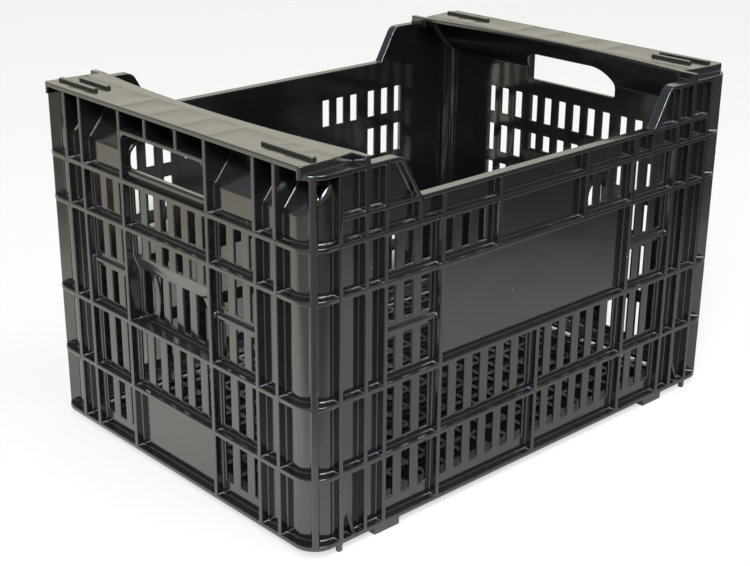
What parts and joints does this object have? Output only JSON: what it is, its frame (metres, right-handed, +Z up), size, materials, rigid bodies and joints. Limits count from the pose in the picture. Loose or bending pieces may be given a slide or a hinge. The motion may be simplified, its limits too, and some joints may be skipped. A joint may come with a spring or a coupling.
{
  "type": "plastic harvest crate",
  "caption": "Open-topped black plastic harvest crate with ribbed, slotted walls, hand holes in leaning ends, raised end shelves with stacking bars and low sides.",
  "frame": {"origin": "on the ground, under the middle of the crate", "axes": "+Z up, X along the length from end to end, Y along the width, left end at -X, front side at -Y"},
  "size_m": [0.5, 0.356, 0.3145],
  "materials": {
    "crate_plastic": "black moulded plastic, semi-gloss, with rubbed edges and a little dust"
  },
  "bodies": {
    "root": {"floor_grid": "crate_plastic", "front_left_corner": "crate_plastic", "front_left_foot_nub": "crate_plastic", "front_left_foot_pad": "crate_plastic", "front_left_horn": "crate_plastic", "front_left_overhang": "crate_plastic", "front_right_corner": "crate_plastic", "front_right_foot_nub": "crate_plastic", "front_right_foot_pad": "crate_plastic", "front_right_horn": "crate_plastic", "front_right_overhang": "crate_plastic", "front_rim": "crate_plastic", "front_side_panel": "crate_plastic", "left_end_panel": "crate_plastic", "left_grip": "crate_plastic", "left_grip_sill": "crate_plastic", "left_inner_stack_bar": "crate_plastic", "left_outer_stack_bar": "crate_plastic", "left_shelf": "crate_plastic", "left_single_stack_bar": "crate_plastic", "rear_left_corner": "crate_plastic", "rear_left_foot_nub": "crate_plastic", "rear_left_foot_pad": "crate_plastic", "rear_left_horn": "crate_plastic", "rear_left_overhang": "crate_plastic", "rear_right_corner": "crate_plastic", "rear_right_foot_nub": "crate_plastic", "rear_right_foot_pad": "crate_plastic", "rear_right_horn": "crate_plastic", "rear_right_overhang": "crate_plastic", "rear_rim": "crate_plastic", "rear_side_panel": "crate_plastic", "right_end_panel": "crate_plastic", "right_grip": "crate_plastic", "right_grip_sill": "crate_plastic", "right_inner_stack_bar": "crate_plastic", "right_outer_stack_bar": "crate_plastic", "right_shelf": "crate_plastic", "right_single_stack_bar": "crate_plastic"}
  },
  "joints": []
}
